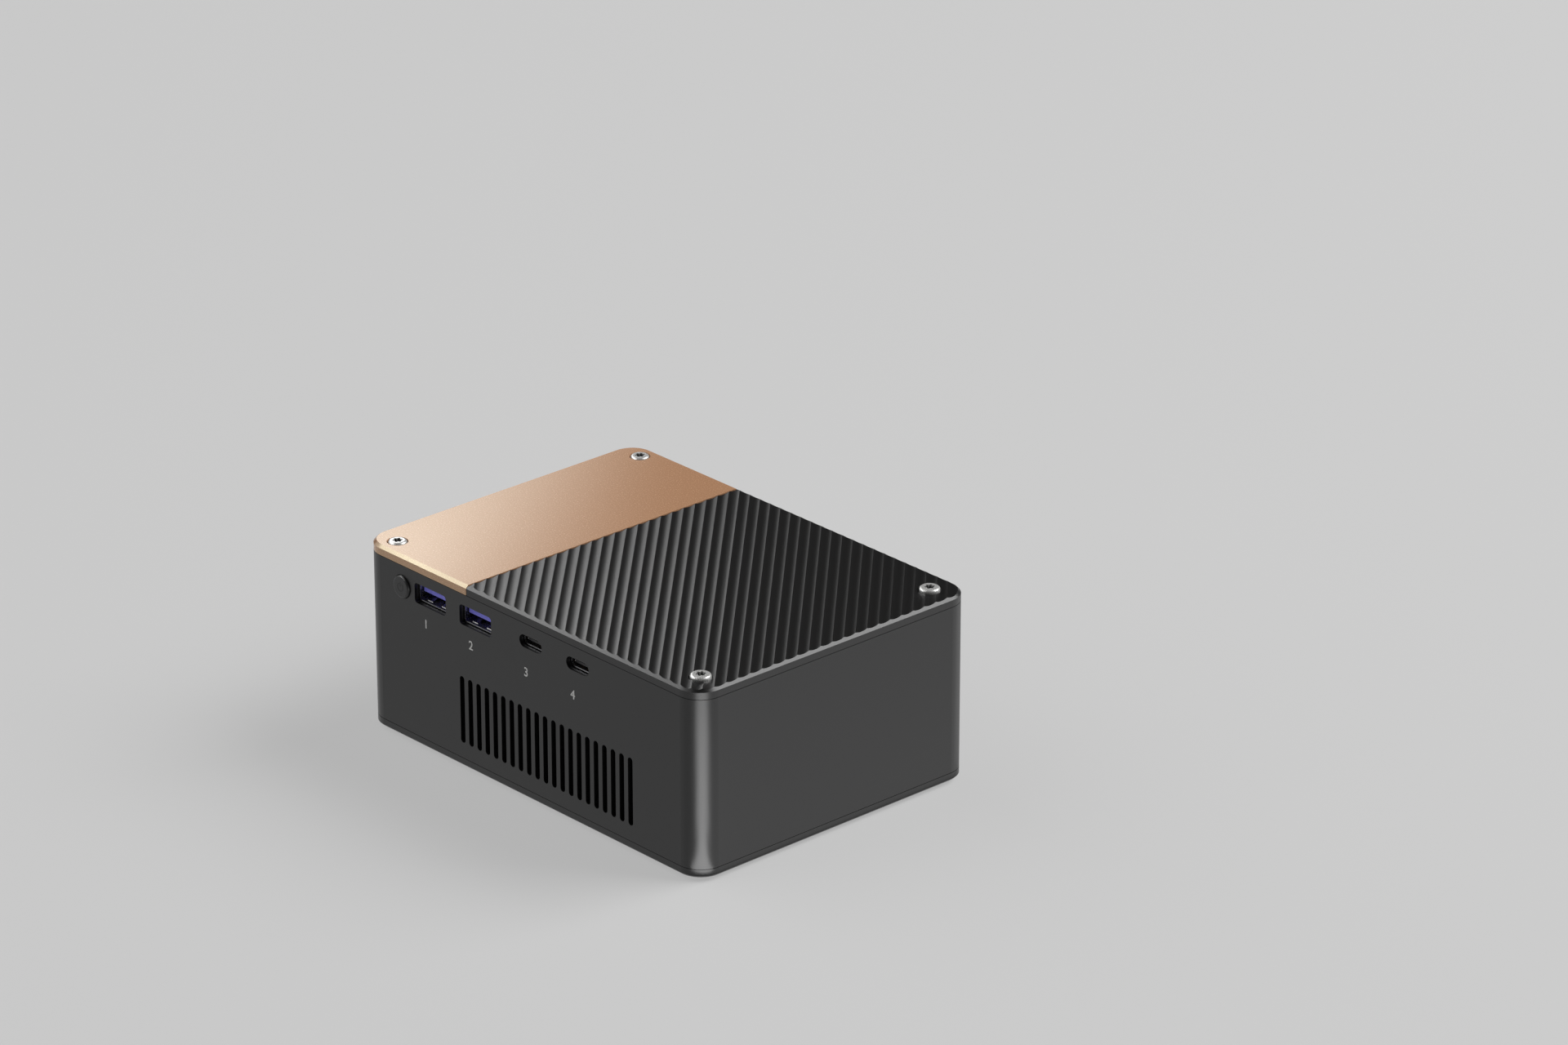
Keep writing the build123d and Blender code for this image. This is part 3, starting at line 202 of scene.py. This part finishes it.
def start_material(name):
    """An empty node material, its tree, and the socket that its surface goes into."""
    material = bpy.data.materials.new(name)
    material.use_nodes = True
    tree = material.node_tree
    tree.nodes.clear()
    return material, tree, add_node(tree, "ShaderNodeOutputMaterial").inputs["Surface"]


def grained(name, dark, light, grain, roughness, relief, metallic=0.0, painted_shade_width=0.0, **sockets):
    """Surface with a fine grain: grain and relief in mm, roughness as a low and a high value.
    With a painted shade width, in mm, its colour is darkened by painted shade in recesses about
    that wide."""
    material, tree, surface = start_material(name)
    coordinates = add_node(tree, "ShaderNodeTexCoord").outputs["Object"]
    noise = add_node(tree, "ShaderNodeTexNoise", {"Vector": coordinates},
                     Scale=1 / (grain * MM), Detail=2.0, Roughness=0.6)
    colour = add_node(tree, "ShaderNodeValToRGB", {"Fac": noise.outputs["Fac"]})
    for stop, place, shade in zip(colour.color_ramp.elements, GRAIN_SPAN, (dark, light)):
        stop.position = place
        stop.color = linear(shade)
    tint = colour.outputs["Color"]
    # Painted shade: the colour darkens where ambient occlusion finds a recess
    if painted_shade_width:
        open_sky = add_node(tree, "ShaderNodeAmbientOcclusion",
                            Distance=painted_shade_width * MM, only_local=True)
        painted_shade_scale = add_node(tree, "ShaderNodeMapRange", {"Value": open_sky.outputs["AO"]},
                        From_Min=PAINTED_SHADE_SPAN[0], From_Max=PAINTED_SHADE_SPAN[1])
        tint = add_node(tree, "ShaderNodeVectorMath",
                        {"Vector": tint, "Scale": painted_shade_scale.outputs["Result"]},
                        operation="SCALE").outputs["Vector"]
    gloss = add_node(tree, "ShaderNodeMapRange", {"Value": noise.outputs["Fac"]},
                     From_Min=GRAIN_SPAN[0], From_Max=GRAIN_SPAN[1],
                     To_Min=roughness[0], To_Max=roughness[1])
    bump = add_node(tree, "ShaderNodeBump", {"Height": noise.outputs["Fac"]},
                    Strength=1.0, Distance=relief * MM)
    shader = add_node(tree, "ShaderNodeBsdfPrincipled",
                      {"Base Color": tint, "Roughness": gloss.outputs["Result"],
                       "Normal": bump.outputs["Normal"]}, Metallic=metallic, **sockets)
    tree.links.new(shader.outputs["BSDF"], surface)
    return material


# Materials of the outside

def black_anodised_aluminium():
    """Bead-blasted aluminium dyed black: a satin skin of clear oxide over an even, dark ground.
    The grit's marks, about 0.1 mm, are drawn coarser so that they show."""
    return grained("black_anodised_aluminium", "#0f0f0f", "#131314",
                   grain=0.22, roughness=(0.32, 0.38), relief=0.002)


def rose_gold_anodised_aluminium():
    """Bead-blasted aluminium dyed rose gold: warm dye in a clear oxide, with a pale straw sheen.
    The grit's marks, about 0.1 mm, are drawn coarser so that they show."""
    return grained("rose_gold_anodised_aluminium", "#b58663", "#c1926f",
                   grain=0.4, roughness=(0.22, 0.28), relief=0.003, Specular_IOR_Level=1.0,
                   Specular_Tint=linear("#fbf9cb"), Coat_Weight=0.5, Coat_Roughness=0.25)


def plated_screw_steel():
    """Zinc-plated steel heads: pale, half mirror and half the milky grain of the plating, with
    painted shade in the drive recesses.
    """
    return grained("plated_screw_steel", "#d0d0cf", "#e0e0de",
                   grain=0.3, roughness=(0.24, 0.34), relief=0.002, metallic=0.5, painted_shade_width=1.5)


def black_oxide_screw_steel():
    """Steel screws with black oxide: dark, slightly oily gloss."""
    return grained("black_oxide_screw_steel", "#161617", "#222223",
                   grain=0.2, roughness=(0.3, 0.45), relief=0.002, metallic=0.6)


def foot_rubber():
    """Moulded silicone rubber: dull and dark, with a fine mould texture."""
    return grained("foot_rubber", "#151515", "#1e1e1e",
                   grain=0.35, roughness=(0.75, 0.9), relief=0.01)


def button_plastic():
    """Moulded ABS with a fine spark-eroded texture: satin black."""
    return grained("button_plastic", "#1c1c1d", "#212122",
                   grain=0.25, roughness=(0.36, 0.44), relief=0.004)


def port_steel():
    """Folded nickel-plated strip: pale mirror with a rolled grain."""
    return grained("port_steel", "#a8a8ab", "#b5b5b8",
                   grain=0.3, roughness=(0.25, 0.31), relief=0.0003, metallic=1.0)


def blue_nylon():
    """Glass-filled nylon, moulded blue: smooth, with faint flow marks."""
    return grained("blue_nylon", "#7b79ee", "#8b89f6",
                   grain=1.2, roughness=(0.38, 0.5), relief=0.003)


def black_nylon():
    """Glass-filled nylon, moulded black: smooth and slightly glossy."""
    return grained("black_nylon", "#232325", "#2c2c2f",
                   grain=1.0, roughness=(0.35, 0.5), relief=0.003)


def contact_gold():
    """Gold flash over nickel: small warm glints."""
    return grained("contact_gold", "#c79a3e", "#d9b056",
                   grain=0.2, roughness=(0.2, 0.32), relief=0.001, metallic=1.0)


def pin_steel():
    """Nickel-plated brass or ground steel: near mirror."""
    return grained("pin_steel", "#b3b2ae", "#c9c8c4",
                   grain=0.3, roughness=(0.12, 0.22), relief=0.001, metallic=1.0)


def printed_ink():
    """Screen-printed white ink: flat, slightly thin in places."""
    return grained("printed_ink", "#c9c9c8", "#dededc",
                   grain=0.3, roughness=(0.55, 0.7), relief=0.002)


def mark_ink():
    """Black pad print on the button: dull and low in contrast."""
    return grained("mark_ink", "#0b0b0c", "#121213",
                   grain=0.3, roughness=(0.5, 0.65), relief=0.002)


# Materials of the inside

def board_laminate():
    """Glass-epoxy board under black solder mask: smooth, faintly green where thin."""
    return grained("board_laminate", "#10140f", "#161b15",
                   grain=0.8, roughness=(0.34, 0.42), relief=0.001)


def chip_epoxy():
    """Moulded epoxy packages: dull black with a fine mould texture."""
    return grained("chip_epoxy", "#1d1d1e", "#262627",
                   grain=0.3, roughness=(0.55, 0.7), relief=0.003)


def pad_silicone():
    """Filled silicone pads: soft grey-blue and matt."""
    return grained("pad_silicone", "#8c97a3", "#9aa5b0",
                   grain=0.5, roughness=(0.8, 0.92), relief=0.01)


def coil_ferrite():
    """Pressed iron-powder coils: dark grey and granular."""
    return grained("coil_ferrite", "#37373a", "#454549",
                   grain=0.35, roughness=(0.55, 0.7), relief=0.006)


def can_aluminium():
    """Drawn aluminium cans: bright with a soft draw grain."""
    return grained("can_aluminium", "#b9babd", "#c2c3c6",
                   grain=0.5, roughness=(0.25, 0.31), relief=0.0004, metallic=1.0)


def bare_copper():
    """Bare copper, a little dulled by air."""
    return grained("bare_copper", "#bd7754", "#c98360",
                   grain=0.9, roughness=(0.3, 0.36), relief=0.0006, metallic=1.0)


def fin_aluminium():
    """Thin rolled aluminium fins: pale and satin."""
    return grained("fin_aluminium", "#a2a3a6", "#aaabae",
                   grain=0.6, roughness=(0.34, 0.38), relief=0.0003, metallic=1.0)


def fan_plastic():
    """Glass-filled polyester of fan parts: dull black."""
    return grained("fan_plastic", "#131314", "#1b1b1c",
                   grain=0.5, roughness=(0.5, 0.62), relief=0.004)


def fan_sheet():
    """Stamped stainless lid: dim and satin with a rolling grain."""
    return grained("fan_sheet", "#707071", "#787879",
                   grain=0.6, roughness=(0.31, 0.37), relief=0.0004, metallic=1.0)


def magnet_ferrite():
    """Bonded ferrite ring: dark grey and matt."""
    return grained("magnet_ferrite", "#2b2b2d", "#38383a",
                   grain=0.4, roughness=(0.6, 0.75), relief=0.004)


SLOT_MATERIALS = {
    "black_aluminium": black_anodised_aluminium(),
    "rose_gold_aluminium": rose_gold_anodised_aluminium(),
    "screw_steel": plated_screw_steel(),
    "black_screw_steel": black_oxide_screw_steel(),
    "foot_rubber": foot_rubber(),
    "button_plastic": button_plastic(),
    "port_steel": port_steel(),
    "blue_nylon": blue_nylon(),
    "black_nylon": black_nylon(),
    "pin_steel": pin_steel(),
    "board_laminate": board_laminate(),
    "chip_epoxy": chip_epoxy(),
    "pad_silicone": pad_silicone(),
    "coil_ferrite": coil_ferrite(),
    "can_aluminium": can_aluminium(),
    "copper": bare_copper(),
    "fin_aluminium": fin_aluminium(),
    "fan_plastic": fan_plastic(),
    "fan_sheet": fan_sheet(),
    "magnet_ferrite": magnet_ferrite(),
    "contact_gold": contact_gold(),
    "printed_ink": printed_ink(),
    "mark_ink": mark_ink(),
}

for subpart in frame["record"]["subparts"]:
    surfaces = frame["nodes"][subpart["node"]].data.materials
    surfaces.clear()
    surfaces.append(SLOT_MATERIALS[subpart["material_slot"]])


# Making pieces

def add_piece(name, data, place, slot, body):
    """A piece at a place with the finish of a slot, riding on a body."""
    data.materials.append(SLOT_MATERIALS[slot])
    piece = bpy.data.objects.new(name, data)
    piece.matrix_world = place
    bpy.context.scene.collection.objects.link(piece)
    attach(piece, body)


def prism(shape, outline, low, high):
    """A solid in the bmesh, in mm: an outline in the first two axes, raised along the third."""
    face = shape.faces.new([shape.verts.new((x * MM, y * MM, low * MM)) for x, y in outline])
    raised = bmesh.ops.extrude_face_region(shape, geom=[face])["geom"]
    bmesh.ops.translate(shape, vec=(0, 0, (high - low) * MM),
                        verts=[part for part in raised if isinstance(part, bmesh.types.BMVert)])


def add_prisms(name, prisms, place, slot, body):
    """A piece of one or more prisms, each given by its outline and its two ends."""
    shape = bmesh.new()
    for outline, low, high in prisms:
        prism(shape, outline, low, high)
    bmesh.ops.recalc_face_normals(shape, faces=shape.faces)
    mesh = bpy.data.meshes.new(name)
    shape.to_mesh(mesh)
    shape.free()
    add_piece(name, mesh, place, slot, body)


def on_wall(x, y, z):
    """Frame on the front or rear wall: to the viewer's right, up, and out of the wall."""
    facing = Matrix.Rotation(math.pi if y > 0 else 0, 4, "Z") @ Matrix.Rotation(math.pi / 2, 4, "X")
    return Matrix.Translation((x, y, z)) @ facing


def into_wall(x, y, z):
    """Frame of a section through a port: into the wall, up, and to the viewer's right."""
    return on_wall(x, y, z) @ Matrix.Rotation(math.pi / 2, 4, "Y")


def middle(node):
    """Middle of a node's box."""
    low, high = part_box(node)
    return (low + high) / 2


# Printed marks

def stroke(points, width):
    """Outline of a pen stroke along points, with round ends."""
    points = [Vector(point) for point in points]
    left, right = [], []
    for i, point in enumerate(points):
        run = points[min(i + 1, len(points) - 1)] - points[max(i - 1, 0)]
        across = Vector((-run.y, run.x)).normalized() * width / 2
        left.append(point + across)
        right.append(point - across)
    caps = []
    for end, start in ((points[-1], left[-1]), (points[0], right[0])):
        turns = [Matrix.Rotation(-math.pi * k / CAP_STEPS, 2) for k in range(1, CAP_STEPS)]
        caps.append([end + turn @ (start - end) for turn in turns])
    return left + caps[0] + right[::-1] + caps[1]


def printed(name, strokes, width, place, slot, body):
    """A thin layer of ink along pen strokes."""
    layers = [(stroke(points, width), 0, INK_THICKNESS) for points in strokes]
    add_prisms(name, layers, place, slot, body)


def power_mark():
    """The standard power sign on the button: an open ring and a bar."""
    button = middle("power_button")
    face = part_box("power_button")[0].y
    gap = math.radians(POWER_GAP_DEGREES)
    turns = [math.pi / 2 + gap + 2 * (math.pi - gap) * k / ARC_STEPS for k in range(ARC_STEPS + 1)]
    ring = [(POWER_RADIUS * math.cos(turn), POWER_RADIUS * math.sin(turn)) for turn in turns]
    bar = [(0, height) for height in POWER_BAR]
    place = on_wall(button.x, face, button.z)
    printed("power_mark", (ring, bar), POWER_LINE, place, "mark_ink", BUTTON)


def port_numbers():
    """A plain number under each port."""
    for number, port in enumerate(NUMBERED_PORTS, 1):
        text = bpy.data.curves.new(f"number_{number}", "FONT")
        text.body = str(number)
        text.size = NUMBER_SIZE * MM
        text.offset = NUMBER_BOLD * MM
        text.align_x = "CENTER"
        text.extrude = INK_THICKNESS * MM
        port_middle = middle(f"{port}_shell")
        shift = FRONT_NUMBER_SHIFT * MM if port_middle.y < 0 else 0
        wall = math.copysign(WALL_FACE * MM, port_middle.y)
        place = on_wall(port_middle.x + shift, wall, NUMBER_BASE * MM)
        add_piece(text.name, text, place, "printed_ink", HOUSING)


def direct_current_mark():
    """The standard sign for direct current under the power jack: a line over three dashes."""
    dashes = (-CURRENT_HALF + CURRENT_DASH / 2, 0, CURRENT_HALF - CURRENT_DASH / 2)
    strokes = [[(-CURRENT_HALF, CURRENT_GAP), (CURRENT_HALF, CURRENT_GAP)]]
    strokes += [[(x - CURRENT_DASH / 2, 0), (x + CURRENT_DASH / 2, 0)] for x in dashes]
    place = on_wall(middle("power_jack").x, WALL_FACE * MM, NUMBER_BASE * MM)
    printed("direct_current_mark", strokes, MARK_LINE, place, "printed_ink", HOUSING)


# Metal in the ports

def leaf(start, end, rise):
    """Section of a spring leaf that bows up between two depths."""
    steps = [k / LEAF_STEPS for k in range(LEAF_STEPS + 1)]
    under = [(start + (end - start) * t, rise * math.sin(math.pi * t) ** LEAF_BOW) for t in steps]
    return under + [(depth, bow + LEAF_THICKNESS) for depth, bow in under[::-1]]


def contact(start, end):
    """Section of a flat contact with a sloped tip."""
    return [(start, 0), (end, 0), (end, CONTACT_THICKNESS),
            (start + CONTACT_TIP, CONTACT_THICKNESS)]


def add_row(name, section, middles, width, place, slot):
    """Strips of one section side by side across a port."""
    strips = [(section, m - width / 2, m + width / 2) for m in middles]
    add_prisms(name, strips, place, slot, HOUSING)


def mouth_of(node):
    """Middle of a port's mouth."""
    low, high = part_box(node)
    port = (low + high) / 2
    return Vector((port.x, low.y if port.y < 0 else high.y, port.z))


UPSIDE_DOWN = Matrix.Rotation(math.pi, 4, "X")


def tongue_contacts():
    """Gold-flashed contacts on the faces of each tongue."""
    for port, blade in BLADES.items():
        mouth = mouth_of(f"{port}_shell")
        section = contact(blade.setback + CONTACT_INSET, blade.length)
        for face, middles, side in (("above", blade.above, 1), ("below", blade.below, -1)):
            level = mouth.z + (blade.rise + side * blade.thickness / 2) * MM
            place = into_wall(mouth.x, mouth.y, level)
            if side < 0:
                place = place @ UPSIDE_DOWN
            if middles:
                add_row(f"{port}_contacts_{face}", section, middles, blade.width, place,
                        "contact_gold")


def shell_leaves():
    """Spring leaves that grip the plug, bowed out of the shells' walls."""
    for port, leaves in LEAVES.items():
        mouth = mouth_of(f"{port}_shell")
        low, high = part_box(f"{port}_shell")
        section = leaf(leaves.start, leaves.end, leaves.rise)
        floor_level = low.z + SHELL_SHEET * MM
        roof_level = high.z - SHELL_SHEET * MM
        add_row(f"{port}_leaves_lower", section, leaves.lower, leaves.width,
                into_wall(mouth.x, mouth.y, floor_level), "pin_steel")
        if leaves.upper:
            add_row(f"{port}_leaves_upper", section, leaves.upper, leaves.width,
                    into_wall(mouth.x, mouth.y, roof_level) @ UPSIDE_DOWN, "pin_steel")


def side_latches():
    """Steel latch edges along both sides of the small ports' tongues."""
    for port in ("small_port_1", "small_port_2"):
        mouth = mouth_of(f"{port}_shell")
        half = SMALL_BLADE.thickness / 2 + CONTACT_THICKNESS
        start, end = SMALL_BLADE.setback - CONTACT_THICKNESS, SMALL_BLADE.setback + LATCH_LENGTH
        section = [(start, -half + CONTACT_TIP), (start + CONTACT_TIP, -half), (end, -half),
                   (end, half), (start + CONTACT_TIP, half), (start, half - CONTACT_TIP)]
        add_row(f"{port}_latches", section, LATCH_PLACES, LATCH_WIDTH,
                into_wall(mouth.x, mouth.y, mouth.z), "pin_steel")


def jack_leaf():
    """The outer contact of the power jack: a leaf along the floor of its bore."""
    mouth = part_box("power_jack")[1].y
    pin = middle("power_jack_pin")
    add_row("power_jack_leaf", leaf(*JACK_LEAF), [0], JACK_LEAF_WIDTH,
            into_wall(pin.x, mouth, pin.z - JACK_BORE_RADIUS * MM), "pin_steel")


power_mark()
port_numbers()
direct_current_mark()
tongue_contacts()
shell_leaves()
side_latches()
jack_leaf()


# Floor, light and camera

def matt_paper():
    """Matt paper seen mostly at its own even tone."""
    paper, tree, surface = start_material("matt_paper")
    matt = add_node(tree, "ShaderNodeBsdfDiffuse", Color=linear(PAPER))
    tone = add_node(tree, "ShaderNodeEmission", Color=linear(PAPER), Strength=1.0)
    ray = add_node(tree, "ShaderNodeLightPath").outputs
    seen = add_node(tree, "ShaderNodeMapRange", {"Value": ray["Is Camera Ray"]}, To_Max=EVEN_SHARE)
    for kind in ("Is Glossy Ray", "Is Transmission Ray"):
        seen = add_node(tree, "ShaderNodeMath", {0: seen.outputs[0], 1: ray[kind]}, operation="ADD")
    both = add_node(tree, "ShaderNodeMixShader",
                    {0: seen.outputs[0], 1: matt.outputs[0], 2: tone.outputs[0]})
    tree.links.new(both.outputs[0], surface)
    paper.cycles.emission_sampling = "NONE"
    return paper


def shaded_paper():
    """The same paper under the part, with no even tone, so that the intake slots stay dark."""
    paper, tree, surface = start_material("shaded_paper")
    matt = add_node(tree, "ShaderNodeBsdfDiffuse", Color=linear(PAPER))
    tree.links.new(matt.outputs[0], surface)
    return paper


def floor():
    """A wide sheet of pale paper with the part's soft shadow on it."""
    ring = [(-1, -1), (1, -1), (1, 1), (-1, 1)]
    points = [(PAPER_HALF * x, PAPER_HALF * y, 0) for x, y in ring]
    points += [(UNDER_HALF[0] * MM * x, UNDER_HALF[1] * MM * y, 0) for x, y in ring]
    around = [(k, (k + 1) % 4, 4 + (k + 1) % 4, 4 + k) for k in range(4)]
    mesh = bpy.data.meshes.new("floor")
    mesh.from_pydata(points, [], around + [(4, 5, 6, 7)])
    mesh.materials.append(matt_paper())
    mesh.materials.append(shaded_paper())
    mesh.polygons[len(around)].material_index = 1
    sheet = bpy.data.objects.new("floor", mesh)
    bpy.context.scene.collection.objects.link(sheet)


def softbox(name, lamp):
    """A rectangular soft light, as bright to look at as its radiance says."""
    light = bpy.data.lights.new(name, "AREA")
    light.shape = "RECTANGLE"
    light.size = lamp.width
    light.size_y = lamp.height
    light.energy = lamp.radiance * math.pi * lamp.width * lamp.height
    if lamp.fade:
        light.use_nodes = True
        tree = light.node_tree
        spot = add_node(tree, "ShaderNodeNewGeometry").outputs["Parametric"]
        across = add_node(tree, "ShaderNodeSeparateXYZ", {"Vector": spot}).outputs["X"]
        slope = add_node(tree, "ShaderNodeMapRange", {"Value": across}, From_Max=lamp.fade)
        tree.links.new(slope.outputs["Result"], tree.nodes["Emission"].inputs["Strength"])
    box = bpy.data.objects.new(name, light)
    box.location = lamp.place
    box.rotation_euler = Vector(lamp.facing).to_track_quat("-Z", "Y").to_euler()
    box.visible_camera = False
    box.visible_diffuse = not lamp.sheen_only
    bpy.context.scene.collection.objects.link(box)


def studio():
    """A dim room, a key from behind right, a fill from front left, and cards for the sheen."""
    world = bpy.data.worlds.new("studio")
    bpy.context.scene.world = world
    world.use_nodes = True
    room = world.node_tree.nodes["Background"]
    room.inputs["Color"].default_value = linear(ROOM)
    for name, lamp in LAMPS.items():
        softbox(name, lamp)
    facing = Vector((0, 0, 1)) - CORNER_TILT * CORNER_WAY
    for reach, length, width in CORNER_STRIPS:
        place = CORNER_FOOT + reach * CORNER_WAY
        strip = Lamp(place, facing, width, length, CORNER_RADIANCE, sheen_only=True)
        softbox(f"corner_card_{length}", strip)


def camera():
    """The photograph's view of the part."""
    lens = bpy.data.cameras.new("camera")
    lens.lens = CAMERA_LENS
    lens.sensor_width = CAMERA_SENSOR
    lens.clip_start, lens.clip_end = CAMERA_CLIP
    azimuth, elevation = math.radians(CAMERA_AZIMUTH), math.radians(CAMERA_ELEVATION)
    level = math.cos(elevation)
    back = Vector((math.sin(azimuth) * level, -math.cos(azimuth) * level, math.sin(elevation)))
    eye = bpy.data.objects.new("camera", lens)
    eye.location = CAMERA_PLACE
    eye.rotation_euler = (-back).to_track_quat("-Z", "Y").to_euler()
    bpy.context.scene.collection.objects.link(eye)
    bpy.context.scene.camera = eye


floor()
studio()
camera()
bpy.context.scene.view_settings.view_transform = "Standard"
